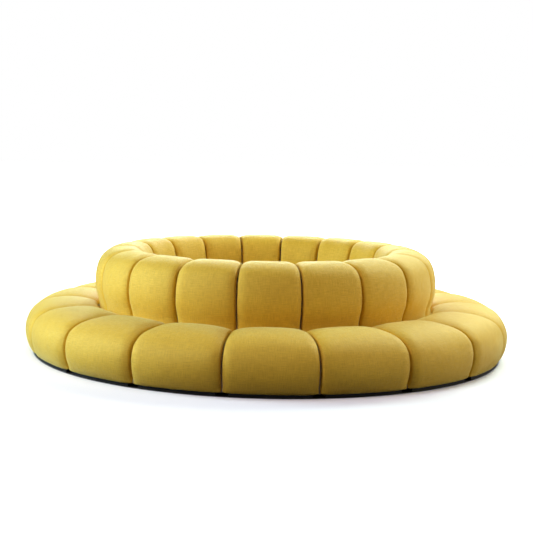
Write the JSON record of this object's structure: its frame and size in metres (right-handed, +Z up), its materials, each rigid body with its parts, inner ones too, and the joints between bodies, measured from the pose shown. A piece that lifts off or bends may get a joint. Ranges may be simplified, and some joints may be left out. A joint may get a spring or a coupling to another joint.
{
  "type": "round sofa",
  "caption": "Round lounge sofa: a closed ring of wedge seats facing outwards, crowned cushions on low black plinths, open middle.",
  "frame": {"origin": "on the floor, at the centre of the ring", "axes": "+Z up along the ring's axis; a module faces -Y, towards the viewer"},
  "size_m": [3.668, 3.668, 0.789],
  "materials": {
    "cover_fabric": "fine mustard-yellow weave over foam",
    "foam": "firm cut foam",
    "plywood": "sanded birch plywood",
    "pine": "planed softwood",
    "plinth_black": "black lacquered board, satin",
    "pad_felt": "dark grey pressed felt",
    "plate_steel": "zinc-plated flat steel"
  },
  "bodies": {
    "root": {"seat_cushion_01": "cover_fabric", "seat_cushion_02": "cover_fabric", "seat_cushion_03": "cover_fabric", "seat_cushion_04": "cover_fabric", "seat_cushion_05": "cover_fabric", "seat_cushion_06": "cover_fabric", "seat_cushion_07": "cover_fabric", "seat_cushion_08": "cover_fabric", "seat_cushion_09": "cover_fabric", "seat_cushion_10": "cover_fabric", "seat_cushion_11": "cover_fabric", "seat_cushion_12": "cover_fabric", "seat_cushion_13": "cover_fabric", "seat_cushion_14": "cover_fabric", "seat_cushion_15": "cover_fabric", "seat_cushion_16": "cover_fabric", "seat_cushion_17": "cover_fabric", "seat_cushion_18": "cover_fabric", "back_cushion_01": "cover_fabric", "back_cushion_02": "cover_fabric", "back_cushion_03": "cover_fabric", "back_cushion_04": "cover_fabric", "back_cushion_05": "cover_fabric", "back_cushion_06": "cover_fabric", "back_cushion_07": "cover_fabric", "back_cushion_08": "cover_fabric", "back_cushion_09": "cover_fabric", "back_cushion_10": "cover_fabric", "back_cushion_11": "cover_fabric", "back_cushion_12": "cover_fabric", "back_cushion_13": "cover_fabric", "back_cushion_14": "cover_fabric", "back_cushion_15": "cover_fabric", "back_cushion_16": "cover_fabric", "back_cushion_17": "cover_fabric", "back_cushion_18": "cover_fabric", "foot_pads": "pad_felt", "plinths": "plinth_black", "base_boards": "plywood", "front_panels": "plywood", "back_panels": "plywood", "inner_panels": "plywood", "side_panels_left": "plywood", "side_panels_right": "plywood", "top_rails": "plywood", "seat_decks": "plywood", "deck_battens": "pine", "rear_rails": "pine", "seat_foam_slabs": "foam", "outer_link_plates": "plate_steel", "inner_link_plates": "plate_steel"}
  },
  "joints": []
}
